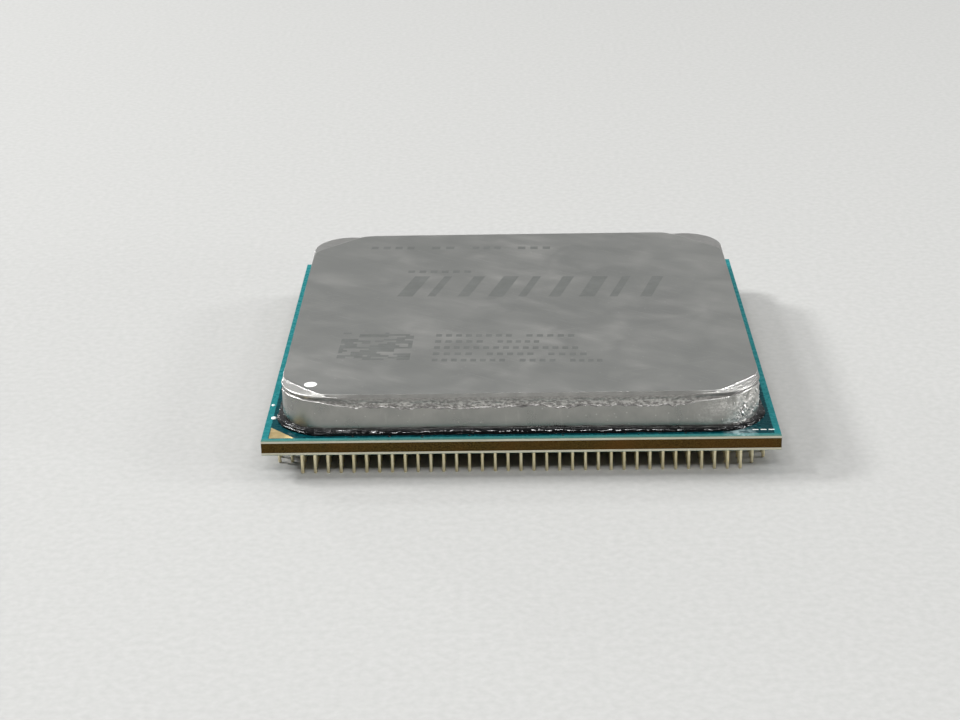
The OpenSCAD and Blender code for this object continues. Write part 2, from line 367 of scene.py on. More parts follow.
def scratches(finish, turn, spacing, length, share):
    """Sparse hairlines along one direction, in millimetres: 0 nearly everywhere and 1 in a scratch."""
    streaks = finish.cloud(1, 1, finish.stretched((length, spacing, length), turn))
    return finish.between(streaks, 1 - share, 1 - share + 0.03)


def nickel_top():
    finish = Finish("satin_nickel", Metallic=1.0)
    smudge = finish.cloud(4.5 * MM, 6, distortion=0.8)
    wipe = finish.cloud(1, 4, finish.stretched((6, 2.2, 1), 0.5))
    veil = finish.times(finish.between(smudge, 0.33, 0.68), finish.between(wipe, 0.3, 0.75))
    marks = finish.math("MAXIMUM", scratches(finish, 0.62, 0.05, 4, 0.3),
                        scratches(finish, -0.35, 0.06, 6, 0.29))
    nicks = finish.between(finish.cells(0.9 * MM), 0.07, 0.04)
    bright = finish.math("MAXIMUM", finish.times(marks, 0.3), finish.times(nicks, 0.5))
    colour = finish.blend(veil, (0.325, 0.33, 0.315), (0.45, 0.445, 0.425))
    finish.paint(finish.blend(bright, colour, (0.6, 0.59, 0.57)))
    grain = finish.cloud(0.07 * MM, 2)
    finish.set("Roughness", finish.math("ADD", finish.between(veil, 0, 1, 0.33, 0.41),
                                        finish.between(grain, 0.3, 0.7, 0, 0.06)))
    finish.bump(finish.cloud(0.09 * MM, 3), 0.005 * MM)
    finish.bump(finish.cloud(2.4 * MM, 3), 0.001 * MM)
    finish.bump(marks, -0.001 * MM)
    finish.bump(nicks, -0.003 * MM)
    return finish.material


def rolled_rim():
    """The lid's rolled edge, a little brighter than its top, with faint undulations."""
    finish = Finish("rolled_nickel_rim", Metallic=1.0)
    drift = finish.cloud(0.9 * MM, 4)
    finish.paint(finish.shade(drift, 0.3, 0.7, (0.39, 0.385, 0.37), (0.5, 0.495, 0.475)))
    finish.rough(drift, 0.3, 0.7, 0.4, 0.32)
    finish.bump(finish.cloud(0.6 * MM, 2), 0.004 * MM)
    return finish.material


def from_middle(finish, operation):
    """The smaller (MINIMUM) or larger (MAXIMUM) distance from the object's two middle planes."""
    return finish.math(operation, *[finish.math("ABSOLUTE", finish.axis(name)) for name in ("X", "Y")])


def near_corners(finish):
    """0 along the lid's sides and 1 around its corners."""
    return finish.between(from_middle(finish, "MINIMUM"), 12.5 * MM, 16 * MM)


def near_point(finish, point, near, far):
    """1 nearer to a point than near, 0 further from it than far."""
    offset = finish.nodes.new("ShaderNodeVectorMath")
    offset.operation = "DISTANCE"
    offset.inputs[1].default_value = point
    finish.links.new(finish.place, offset.inputs[0])
    return finish.between(offset.outputs["Value"], far, near)


def torn_metal():
    """The torn band: smoother at its top, coarse and flecked towards the lip, streaked at the corners."""
    finish = Finish("torn_nickel_band", Metallic=1.0)
    fleck = finish.cloud(1, 6, finish.stretched((0.24, 0.24, 0.14)))
    low = finish.between(finish.axis("Z"), PACKAGE_TOP + 3.0 * MM, PACKAGE_TOP + 2.3 * MM)
    bright = finish.times(finish.between(fleck, 0.45, 0.62), finish.between(low, 0.2, 1))
    dull = finish.shade(fleck, 0.3, 0.6, (0.27, 0.26, 0.25), (0.37, 0.36, 0.345))
    colour = finish.blend(bright, dull, (0.64, 0.625, 0.6))
    streaks = finish.between(finish.cloud(1, 3, finish.stretched((1, 1, 0.12))), 0.5, 0.7)
    scraped = finish.blend(streaks, (0.17, 0.165, 0.16), (0.5, 0.49, 0.47))
    corners = finish.times(near_corners(finish), 0.85)
    finish.paint(finish.blend(corners, colour, scraped))
    finish.rough(fleck, 0.3, 0.7, 0.5, 0.36)
    coarse = finish.times(finish.cloud(0.16 * MM, 4), finish.between(low, 0, 1, 0.4, 1))
    finish.bump(coarse, 0.024 * MM)
    return finish.material


def burnished_lip():
    """The lip under the torn band, rubbed bright in dashes, and all along at the corners."""
    finish = Finish("burnished_lip", Metallic=1.0)
    dashes = finish.between(finish.cloud(0.4 * MM, 4), 0.5, 0.68, 0, 0.7)
    rubbed = finish.math("MAXIMUM", dashes, near_corners(finish))
    finish.paint(finish.blend(rubbed, (0.2, 0.195, 0.19), (0.7, 0.69, 0.67)))
    finish.rough(rubbed, 0, 1, 0.55, 0.28)
    finish.bump(finish.cloud(0.12 * MM, 3), 0.006 * MM)
    return finish.material


def drawn_metal():
    """The drawn wall, with fine specks, and pale, flecked and crumpled at the scuffed corner."""
    finish = Finish("drawn_nickel_wall", Metallic=1.0)
    drag = finish.cloud(1, 3, finish.stretched((0.25, 0.25, 1.4)))
    smudge = finish.cloud(2.6 * MM, 5)
    specks = finish.between(finish.cells(0.55 * MM), 0.12, 0.07)
    colour = finish.shade(smudge, 0.35, 0.65, (0.27, 0.275, 0.26), (0.36, 0.355, 0.335))
    colour = finish.blend(finish.between(drag, 0.6, 0.85, 0, 0.4), colour, (0.48, 0.46, 0.44))
    colour = finish.blend(finish.times(specks, 0.45), colour, (0.68, 0.67, 0.64))
    heart = GALLED_CORNER + Vector((0, 0, PACKAGE_TOP + 1.2 * MM))
    dull = finish.times(near_point(finish, heart, 2.2 * MM, 5.4 * MM),
                        finish.between(finish.cloud(0.9 * MM, 5), 0.35, 0.6))
    fleck = finish.cloud(0.16 * MM, 4)
    scuffed = finish.shade(fleck, 0.35, 0.65, (0.42, 0.405, 0.39), (0.95, 0.93, 0.9))
    finish.paint(finish.blend(finish.times(dull, 0.85), colour, scuffed))
    rough = finish.between(smudge, 0.3, 0.7, 0.24, 0.36)
    finish.set("Roughness", finish.math("ADD", rough, finish.times(dull, 0.1)))
    finish.bump(drag, 0.0025 * MM)
    finish.bump(finish.cloud(0.5 * MM, 4), 0.006 * MM)
    crumpled = near_point(finish, heart, 1.6 * MM, 3.6 * MM)
    finish.bump(finish.times(finish.cells(0.24 * MM), crumpled), 0.03 * MM)
    return finish.material


def etched_metal():
    finish = plain_metal("laser_etched_nickel", (0.3, 0.31, 0.295), (0.26, 0.27, 0.255), 1.2, 0.33, 0.42)
    rows = finish.cloud(1, 0, finish.stretched((3, 0.05, 1)))
    finish.bump(rows, 0.001 * MM)
    return finish.material


def bright_dot():
    finish = Finish("bright_laser_dot", (0.9, 0.9, 0.88), Metallic=0.35)
    finish.rough(finish.cloud(0.08 * MM, 3), 0.3, 0.7, 0.45, 0.65)
    finish.bump(finish.cloud(0.07 * MM, 3), 0.004 * MM)
    return finish.material


def silicone():
    """Wet-looking black sealant, whose small lumps break up its highlights, with a painted sheen on its
    upper part and painted glints near the front corners.
    """
    finish = Finish("black_silicone", Specular_IOR_Level=0.38)
    # The bead's upper part is painted paler in patches: a painted sheen standing in for the lid wall's
    # reflection
    painted_sheen = finish.times(finish.between(finish.cloud(0.4 * MM, 5), 0.4, 0.62),
                        finish.between(finish.axis("Z"), PACKAGE_TOP + 0.22 * MM, PACKAGE_TOP + 0.4 * MM))
    colour = finish.blend(painted_sheen, (0.001, 0.001, 0.0015), (0.015, 0.0145, 0.016))
    ropy = near_point(finish, ROPY_CORNER + Vector((0, 2 * MM, PACKAGE_TOP)), 2 * MM, 7 * MM)
    lumpy = near_point(finish, GALLED_CORNER + Vector((0, 0, PACKAGE_TOP)), 2 * MM, 4.5 * MM)
    # Pale specks painted near the front corners: painted glints standing in for highlights on the
    # silicone's lumps
    painted_glints = finish.times(finish.between(finish.cells(0.34 * MM), 0.16, 0.1),
                        finish.math("MAXIMUM", ropy, lumpy))
    finish.paint(finish.blend(painted_glints, colour, (0.5, 0.52, 0.52)))
    finish.rough(finish.cloud(0.9 * MM, 4), 0.35, 0.7, 0.05, 0.13)
    strength = finish.math("ADD", finish.between(ropy, 0, 1, 1, 0.4), lumpy)
    finish.bump(finish.times(finish.cloud(0.4 * MM, 4), strength), 0.016 * MM)
    return finish.material


def near_edge(finish, inset, width):
    """1 nearer than inset to the package's sides, 0 further in."""
    line = PACKAGE_HALF - inset
    return finish.between(from_middle(finish, "MAXIMUM"), line - width / 2, line + width / 2)


def grid_dots(finish, pitch, radius, shift):
    """1 in round dots on a square grid, 0 elsewhere."""
    offsets = []
    for name in ("X", "Y"):
        cell = finish.math("WRAP", finish.math("ADD", finish.axis(name), shift), pitch / 2, -pitch / 2)
        offsets.append(finish.times(cell, cell))
    distance = finish.math("SQRT", finish.math("ADD", offsets[0], offsets[1]))
    return finish.between(distance, radius * 1.2, radius * 0.8)


def solder_mask(name):
    """Glossy lacquer, darker over copper, with the vias' faint dimples, a painted sheen of reflected sky
    along the front edge and a painted glare in front of the lid's scuffed corner.
    """
    finish = Finish(name, Specular_IOR_Level=0.04)
    dark = (0.0004, 0.034, 0.043)
    light = (0.001, 0.05, 0.06)
    edge = (0.012, 0.15, 0.16)
    mottle = finish.between(finish.cloud(0.5 * MM, 5), 0.3, 0.7)
    wash = finish.between(finish.cloud(6 * MM, 3), 0.35, 0.65)
    field = finish.blend(mottle, dark, light)
    field = finish.blend(finish.times(wash, 0.3), field, tuple(c * 0.6 for c in dark))
    border = finish.blend(mottle, edge, tuple(c * 1.25 for c in edge))
    # The front border is painted paler and greyer, on the front edge only: a painted sheen of reflected
    # sky
    painted_front_sheen = finish.between(finish.axis("Y"), -PACKAGE_HALF + 0.55 * MM, -PACKAGE_HALF, 0, 0.9)
    border = finish.blend(painted_front_sheen, border, (0.08, 0.165, 0.13))
    dots = grid_dots(finish, 1 * MM, 0.11 * MM, 0.5 * MM)
    some = finish.between(finish.cloud(1.7 * MM, 0), 0.5, 0.52)
    vias = finish.times(dots, some)
    field = finish.blend(finish.times(vias, 0.5), field, edge)
    colour = finish.blend(near_edge(finish, BORDER, 0.05 * MM), field, border)
    # Pale patch in front of the scuffed corner: a painted reflection of the corner's glint
    painted_glare = finish.times(near_point(finish, PAINTED_GLARE_PLACE, 0.3 * MM, 1.5 * MM),
                         finish.between(finish.cloud(0.5 * MM, 4), 0.4, 0.6, 0.1, 0.6))
    finish.paint(finish.blend(painted_glare, colour, (0.42, 0.55, 0.56)))
    finish.rough(mottle, 0, 1, 0.2, 0.34)
    finish.bump(finish.cloud(0.3 * MM, 3), 0.0015 * MM)
    finish.bump(near_edge(finish, BORDER, 0.12 * MM), -0.012 * MM)
    finish.bump(vias, -0.008 * MM)
    return finish.material


def buildup():
    """Cream resin with its layers showing as faint lines on the sawn edge."""
    finish = Finish("buildup_resin")
    layers = finish.cloud(1, 2, finish.stretched((2.5, 2.5, 0.03)))
    grain = finish.cloud(0.08 * MM, 4)
    colour = finish.shade(layers, 0.35, 0.65, (0.4, 0.385, 0.29), (0.57, 0.555, 0.45))
    pits = finish.between(grain, 0.6, 0.8, 0, 0.35)
    finish.paint(finish.blend(pits, colour, (0.29, 0.26, 0.17)))
    finish.rough(grain, 0.3, 0.7, 0.45, 0.65)
    finish.bump(grain, 0.006 * MM)
    finish.bump(layers, 0.003 * MM)
    return finish.material


def glass_core():
    """Brown resin round woven glass: dark and light specks in rows, redder in places."""
    finish = Finish("glass_epoxy_core", Specular_IOR_Level=0.05)
    specks = finish.cells(1, finish.stretched((0.16, 0.16, 0.1)))
    fibre = finish.cloud(1, 4, finish.stretched((0.12, 0.12, 0.06)))
    body = finish.shade(fibre, 0.35, 0.65, (0.026, 0.0165, 0.003), (0.075, 0.048, 0.011))
    colour = finish.blend(finish.between(specks, 0.3, 0.15, 0, 0.5), body, (0.13, 0.086, 0.028))
    rightwards = finish.between(finish.axis("X"), 0, PACKAGE_HALF, 0, 0.12)
    drift = finish.math("ADD", finish.cloud(4 * MM, 2), rightwards)
    redder = finish.between(drift, 0.45, 0.75, 0, 0.6)
    finish.paint(finish.blend(redder, colour, (0.09, 0.04, 0.008)))
    finish.rough(fibre, 0.3, 0.7, 0.5, 0.72)
    finish.bump(fibre, 0.012 * MM)
    finish.bump(specks, 0.01 * MM)
    return finish.material


def pin_gold():
    """Pale gold plating, a little duller and browner towards the tips."""
    finish = Finish("pin_gold", Metallic=1.0)
    height = finish.between(finish.axis("Z"), 0, land_low.z)
    drift = finish.cloud(1.3 * MM, 2)
    colour = finish.shade(drift, 0.35, 0.65, (0.8, 0.71, 0.45), (0.9, 0.83, 0.59))
    tip = finish.between(height, 0.0, 0.5, 0.3, 0)
    finish.paint(finish.blend(tip, colour, (0.6, 0.49, 0.28)))
    finish.rough(finish.cloud(0.2 * MM, 3), 0.3, 0.7, 0.28, 0.4)
    finish.bump(finish.cloud(1, 2, finish.stretched((0.06, 0.06, 0.5))), 0.0005 * MM)
    return finish.material


def ink():
    finish = Finish("white_ink", Roughness=0.5)
    speck = finish.cloud(0.05 * MM, 3)
    finish.paint(finish.shade(speck, 0.55, 0.75, (0.82, 0.83, 0.8), (0.5, 0.56, 0.55)))
    finish.bump(speck, 0.003 * MM)
    return finish.material


def resin(name, color, lighter, size, low, high):
    """Filled resin or ceramic with fine grains, whose size is in millimetres."""
    finish = Finish(name)
    grain = finish.cloud(size * MM, 4)
    finish.paint(finish.shade(grain, 0.35, 0.7, color, lighter))
    finish.rough(grain, 0.3, 0.7, low, high)
    finish.bump(grain, size * MM * 0.1)
    return finish.material


def silicon():
    """Ground silicon: dark, mirror-like, with the grinding wheel's fine lines."""
    finish = Finish("silicon", Metallic=0.6)
    grind = finish.cloud(1, 2, finish.stretched((8, 0.04, 1), 0.8))
    finish.paint(finish.shade(grind, 0.3, 0.7, (0.1, 0.105, 0.12), (0.2, 0.205, 0.22)))
    finish.rough(grind, 0.3, 0.7, 0.16, 0.28)
    finish.bump(grind, 0.001 * MM)
    return finish.material


def cad_materials():
    """The material of each CAD node, by the node's name."""
    tin = plain_metal("tinned_terminal", (0.66, 0.66, 0.65), (0.48, 0.48, 0.47), 0.2, 0.3, 0.5, 0.004)
    joint = plain_metal("joint_solder", (0.7, 0.7, 0.7), (0.5, 0.5, 0.51), 0.15, 0.16, 0.34, 0.006)
    copper = plain_metal("copper_foil", (0.86, 0.42, 0.26), (0.62, 0.27, 0.15), 0.3, 0.3, 0.5, 0.004)
    flash = plain_metal("gold_flash", (0.93, 0.7, 0.32), (0.84, 0.58, 0.24), 1.5, 0.2, 0.34, 0.002)
    triangle = plain_metal("triangle_gold", (0.8, 0.63, 0.33), (0.62, 0.46, 0.2), 0.5, 0.28, 0.46, 0.006)
    land = plain_metal("land_gold", (0.9, 0.68, 0.32), (0.74, 0.52, 0.22), 0.4, 0.22, 0.4, 0.005)
    pads = plain_metal("pad_gold", (0.88, 0.66, 0.32), (0.7, 0.5, 0.22), 0.4, 0.24, 0.4, 0.005)
    indium = plain_metal("indium_solder", (0.66, 0.66, 0.69), (0.5, 0.5, 0.53), 1.1, 0.24, 0.46, 0.012)
    film = plain_metal("die_back_film", (0.86, 0.68, 0.38), (0.74, 0.55, 0.28), 2, 0.12, 0.22, 0.001)
    bumps = plain_metal("bump_solder", (0.62, 0.62, 0.62), (0.45, 0.45, 0.46), 0.1, 0.2, 0.4, 0.004)
    cream = buildup()
    gold = pin_gold()
    chosen = {
        "lid_gold_patch": flash,
        "thermal_solder": indium,
        "die_back_metal": film,
        "die_bumps": bumps,
        "capacitor_terminals": tin,
        "capacitor_solder": joint,
        "capacitor_pads": pads,
        "first_pin_triangle_top": triangle,
        "first_pin_triangle_bottom": triangle,
    }
    chosen = {node: finish.material for node, finish in chosen.items()}
    for node in ("top_copper_plane", "core_copper_top", "core_copper_bottom", "bottom_copper_plane"):
        chosen[node] = copper.material
    for side in ("front", "back", "left", "right"):
        chosen["pins_outer_" + side] = gold
        chosen["pins_inner_" + side] = gold
    for half in ("front", "back"):
        chosen["pin_lands_" + half] = land.material
    chosen["top_buildup"] = cream
    chosen["bottom_buildup"] = cream
    chosen["substrate_core"] = glass_core()
    for side in ("top", "bottom"):
        chosen[side + "_solder_mask"] = solder_mask("solder_mask_" + side)
    chosen["printed_dashes"] = ink()
    chosen["silicon_die"] = silicon()
    chosen["underfill"] = resin(
        "underfill_resin", (0.015, 0.017, 0.022), (0.04, 0.043, 0.05), 0.1, 0.3, 0.5)
    chosen["capacitor_bodies"] = resin(
        "capacitor_ceramic", (0.36, 0.24, 0.15), (0.5, 0.36, 0.25), 0.12, 0.35, 0.55)
    return chosen


def paint_cad_nodes():
    for node, material in cad_materials().items():
        slots = frame["nodes"][node].data.materials
        for number in range(len(slots)):
            slots[number] = material


# ---- Lid ----


def corner_share(point):
    """0 along the lid's sides and 1 around its corners."""
    return smooth_step(11.5 * MM, 16.5 * MM, min(abs(point.x), abs(point.y)))


def galling(point, near=1.2 * MM, far=3.6 * MM):
    """1 at the corner of the wall that was scuffed in the press, 0 away from it."""
    return 1 - smooth_step(near, far, (point - GALLED_CORNER).length)


def band_top(point):
    return PACKAGE_TOP + LID_HEIGHT - mix(ROLL_DROP, CORNER_ROLL_DROP, corner_share(point))


def band_bottom(point):
    """Height of the ragged edge under the torn band, which climbs towards the corners."""
    height = BAND_BOTTOM
    height += 0.1 * MM * wander(point, 5 * MM, 1)
    height += 0.2 * MM * wander(point, 1.7 * MM, 2)
    height += 0.13 * MM * (1 - corner_share(point)) * roughness_noise(point, 0.6 * MM, 3)
    for (side_x, side_y), climb in BAND_CLIMBS.items():
        away = math.dist((point.x, point.y), (side_x * LID_HALF, side_y * LID_HALF))
        height += climb * max(0, 1 - away / CLIMB_REACH)
    return min(PACKAGE_TOP + height, band_top(point) - 0.2 * MM)


# The numbers of the lid's materials
TOP, RIM, BAND, LIP, WALL = range(5)
# Rows of faces in each part of the lid, from the flat top down to the foot
CREASE_ROWS = 3
FACET_ROWS = 8
ROUND_ROWS = 6
BAND_ROWS = 22
LIP_ROWS = 5
WALL_ROWS = 34
LIP_HEIGHT = 0.06 * MM
FLAKES = 44


def roll_profile():
    """The die roll's rows, from the flat top outwards, as pairs of its part and how far along that part.
    Each part begins with a row close to the last part's end, which keeps the bend between them tight."""
    parts = (("crease", CREASE_ROWS), ("facet", FACET_ROWS), ("round", ROUND_ROWS))
    rows = [(part, (step + 0.1) / (count - 0.9)) for part, count in parts for step in range(count)]
    # The torn band's first ring stands for the last row
    return rows[:-1]


def roll_ring(flat, wall, part, along):
    """A ring on the die roll. Each mix goes from the steep sides' value to the shallow corners' value."""
    points = []
    for top, side in zip(flat, wall):
        corner = corner_share(side)
        across = (side - top).length
        drop = LID_TOP - band_top(side)
        crease_width, crease_drop = mix(0.005, 0.1, corner) * MM, mix(0.002, 0.022, corner) * MM
        radius = mix(0.04, 0.1, corner) * MM
        start = math.radians(mix(75, 25, corner))
        if part == "round":
            turn = mix(start, math.pi / 2, along)
            out, down = across - radius * (1 - math.sin(turn)), drop - radius * math.cos(turn)
        elif part == "facet":
            out = mix(crease_width, across - radius * (1 - math.sin(start)), along)
            down = mix(crease_drop, drop - radius * math.cos(start), along)
            ridges = math.sin(along * 13 + 2 * wander(side, 3 * MM, 5))
            down += galling(side, 2.4 * MM, 5 * MM) * along * (1 - along) * 0.07 * MM * ridges
        else:
            out, down = crease_width * along, crease_drop * along
        place = top.lerp(side, out / across)
        points.append(Vector((place.x, place.y, LID_TOP - down)))
    return points


def band_sunk(size):
    """How deep the torn band lies at its lower edge."""
    return BAND_DEPTH * mix(0.7, 1, size)


def band_size(side):
    """1 where the torn band is tall, and less where it narrows round the corners."""
    return min((band_top(side) - band_bottom(side)) / (0.8 * MM), 1)


def band_ring(wall, outs, part):
    """A ring on the torn band, from the die roll at part 0 to the lip at part 1."""
    points = []
    for side, out in zip(wall, outs):
        size = band_size(side)
        height = mix(band_top(side), band_bottom(side) + LIP_HEIGHT, part)
        place = Vector((side.x, side.y, height * 1.7))
        torn = smooth_step(0.1, 0.7, part) * size ** 2
        depth = band_sunk(size) * smooth_step(0, 0.7, part)
        depth += torn * 0.05 * MM * roughness_noise(place, 0.4 * MM, 4)
        folds = galling(side) * 0.03 * MM * math.sin(part * 13 + 3 * wander(side, 2.5 * MM, 6))
        height += smooth_step(0.75, 1, part) * lip_noise(side, size)
        points.append(Vector((side.x, side.y, height)) - out * (depth + folds))
    return points


def lip_noise(side, size):
    return 0.06 * MM * size ** 2 * roughness_noise(side, 0.3 * MM, 7)


def lip_ring(wall, outs, part):
    """A ring on the rounded lip that the torn band leaves at the top of the wall."""
    points = []
    for side, out in zip(wall, outs):
        size = band_size(side)
        turn = part * math.pi / 2
        height = band_bottom(side) + LIP_HEIGHT * math.cos(turn) + (1 - part) * lip_noise(side, size)
        burr = 0.05 * MM * size ** 2 * max(0, roughness_noise(side, 0.26 * MM, 8))
        depth = band_sunk(size) * (1 - math.sin(turn)) - burr * math.sin(turn * 2)
        points.append(Vector((side.x, side.y, height)) - out * depth)
    return points


def wall_ring(wall, outs, part):
    """A ring on the smooth wall, from the lip at part 0 to the foot at part 1."""
    points = []
    for side, out in zip(wall, outs):
        height = mix(band_bottom(side), LID_FOOT, part)
        place = Vector((side.x, side.y, height))
        dent = abs(wander(place, 0.75 * MM, 9)) * 0.09 * MM
        dent += abs(wander(place, 0.25 * MM, 10)) * 0.02 * MM
        dent *= galling(side) * smooth_step(0, 0.12, part)
        wave = 0.005 * MM * wander(place, 1.5 * MM, 11)
        tuck = 0.06 * MM * smooth_step(0.93, 1, part)
        points.append(place - out * (dent + wave + tuck))
    return points


def flat_outline(wall, outs):
    """The edge of the flat top, which cuts straighter across the corners than the wall does."""
    points = []
    for side, out in zip(wall, outs):
        corner = (math.copysign(1, side.x), math.copysign(1, side.y))
        beyond = abs(side.x) + abs(side.y) - LID_HALF - FLAT_CUTS[corner]
        cut = (beyond + math.hypot(beyond, FLAT_SOFTNESS)) / 2 / (abs(out.x) + abs(out.y))
        points.append(side - out * (FLAT_INSET + cut))
    return points


def add_flakes(mesh, wall, outs):
    """Bright flakes of torn plating on the wall at the scuffed corner, the last two of them tall."""
    scuffed = [number for number in range(len(wall)) if galling(wall[number], 1.5 * MM, 4.2 * MM) > 0.3]
    low, high = PACKAGE_TOP + 0.7 * MM, PACKAGE_TOP + 2.7 * MM
    chosen = []
    for _ in range(FLAKES):
        tall = random.uniform(0.05, 0.16) * MM
        number, height = random.choice(scuffed), random.uniform(low, high)
        chosen.append((number, height, random.uniform(0.03, 0.07) * MM, tall))
    tallest = min(scuffed, key=lambda number: abs(wall[number].x - 17.3 * MM) + max(wall[number].y, 0))
    chosen += [(tallest, PACKAGE_TOP + 1.45 * MM, 0.16 * MM, 0.34 * MM),
               (tallest - 3, PACKAGE_TOP + 1.05 * MM, 0.14 * MM, 0.3 * MM)]
    for number, height, wide, tall in chosen:
        side, out = wall[number], outs[number]
        leaning = Matrix.Rotation(random.uniform(-0.5, 0.5), 3, out) @ Vector((-out.y, out.x, 0))
        place = side + Vector((0, 0, height)) - out * 0.03 * MM
        for face in add_blob(mesh, place, leaning, out, (wide, 0.05 * MM + tall * 0.25, tall)):
            face.material_index = LIP


def make_lid():
    wall, outs = rounded_rectangle(LID_HALF, LID_HALF, LID_CORNER)
    flat = flat_outline(wall, outs)
    cavity, _ = rounded_rectangle(CAVITY_HALF, CAVITY_HALF, CAVITY_CORNER)
    patch, _ = rounded_rectangle(patch_high.x, patch_high.y, 0.05 * MM)
    rings = [ring(flat, LID_TOP)]
    rings += [roll_ring(flat, wall, part, along) for part, along in roll_profile()]
    top_rows = len(rings)
    rings += [band_ring(wall, outs, step / BAND_ROWS) for step in range(BAND_ROWS + 1)]
    rings += [lip_ring(wall, outs, (step + 1) / LIP_ROWS) for step in range(LIP_ROWS - 1)]
    rings += [wall_ring(wall, outs, step / WALL_ROWS) for step in range(WALL_ROWS + 1)]
    rings += [ring(cavity, LID_FOOT), ring(cavity, CAVITY_TOP)]
    rings += [ring(patch, CAVITY_TOP), ring(patch, patch_high.z)]

    lip_start = top_rows + BAND_ROWS

    def zone(number):
        # The crease is rubbed bright like the lip
        if number < CREASE_ROWS:
            return LIP
        return RIM + sum(number >= start for start in (top_rows, lip_start, lip_start + LIP_ROWS))

    mesh = loft(rings, (0, len(rings) - 1), zone)
    add_flakes(mesh, wall, outs)
    for face in mesh.faces:
        inside = face.calc_center_median().xy.length < CAVITY_HALF
        if len(face.verts) > 4 or inside and abs(face.normal.z) > 0.9:
            face.smooth = False
    for edge in mesh.edges:
        if len(edge.link_faces) == 2 and edge.calc_face_angle(0) > math.radians(60):
            edge.smooth = max(vert.co.z for vert in edge.verts) > LID_FOOT + 0.1 * MM and min(
                vert.co.xy.length for vert in edge.verts) > 16 * MM
    finishes = (nickel_top(), rolled_rim(), torn_metal(), burnished_lip(), drawn_metal())
    finish_piece("lid", mesh, finishes, ("heat_spreader",))


# ---- Marks on the lid ----

MARK_TURN = math.radians(-2)
MARK_PROUD = 0.004 * MM
MARK_SUNK = 0.01 * MM


def add_plate(mesh, corners):
    """A closed plate of little thickness on the lid's top, from its outline in millimetres."""
    turn = Matrix.Rotation(MARK_TURN, 3, "Z")
    top = [mesh.verts.new(turn @ Vector((x * MM, y * MM, LID_TOP + MARK_PROUD))) for x, y in corners]
    low = [mesh.verts.new(vert.co - Vector((0, 0, MARK_PROUD + MARK_SUNK))) for vert in top]
    mesh.faces.new(top)
    mesh.faces.new(low[::-1])
    for number in range(len(top)):
        beside = (number + 1) % len(top)
        mesh.faces.new((top[number], low[number], low[beside], top[beside]))


def add_block(mesh, x0, y0, x1, y1, slant=0.0):
    add_plate(mesh, ((x0, y0), (x1, y0), (x1 + slant, y1), (x0 + slant, y1)))


def add_text_line(mesh, x0, x1, y, height, words):
    """A line of plain blocks, in groups like words."""
    widths = [random.uniform(0.6, 1.4) for _ in range(words)]
    gap = height * 0.9
    scale = (x1 - x0 - gap * (words - 1)) / sum(widths)
    start = x0
    for width in widths:
        letters = max(2, round(width * scale / (height * 0.85)))
        step = width * scale / letters
        for number in range(letters):
            left = start + number * step
            add_block(mesh, left, y, left + step * 0.6, y + height * 0.55)
        start += width * scale + gap


def add_code(mesh, x0, y0, side, cells):
    """A square of random cells that means nothing."""
    size = side / cells
    for row in range(cells):
        column = 0
        while column < cells:
            run = random.randint(1, 4)
            if random.random() < 0.62:
                end = min(column + run, cells)
                low = y0 + row * size
                add_block(mesh, x0 + column * size, low, x0 + end * size, low + size * 0.9)
            column += run


def make_marks():
    """Plain marks that say nothing, where the lid carries its laser marks. Places are in millimetres."""
    mesh = bmesh.new()
    add_text_line(mesh, -14, 2.9, 14.4, 1.3, 4)
    add_text_line(mesh, -10.1, -4.1, 8.1, 1.1, 1)
    for number in range(9):
        start = -10.6 + 2.62 * number
        add_block(mesh, start, 2.2, start + (1.35, 0.7, 1.0)[number % 3], 7.2, slant=1.2)
    add_code(mesh, -14.3, -12.1, 5.9, 17)
    for number, end in enumerate((5.1, 2.2, 5.4, 6.1, 7.3)):
        add_text_line(mesh, -6.6, end, -7.1 - 1.32 * number, 0.95, (2, 2, 1, 3, 3)[number])
    finish_piece("lid_marks", mesh, (etched_metal(),))


def make_dot():
    """The laser-cut dot beside the first pin's corner of the lid."""
    centre = Vector((-16.3 * MM, -16.55 * MM, 0))
    turned = [2 * math.pi * step / 48 for step in range(48)]
    rings = []
    for radius, height in ((0.5, -MARK_SUNK), (0.5, 0.0), (0.47, MARK_PROUD), (0.25, MARK_PROUD * 0.4)):
        reach = radius * MM
        lifted = centre + Vector((0, 0, LID_TOP + height))
        rings.append([lifted + Vector((math.cos(angle) * reach, math.sin(angle) * reach, 0))
                      for angle in turned])
    mesh = loft(rings, (0, 3))
    finish_piece("first_pin_dot", mesh, (bright_dot(),))


# ---- Seal ----

BEAD_ROWS = 20
STRINGS = 420
DROPS = 34


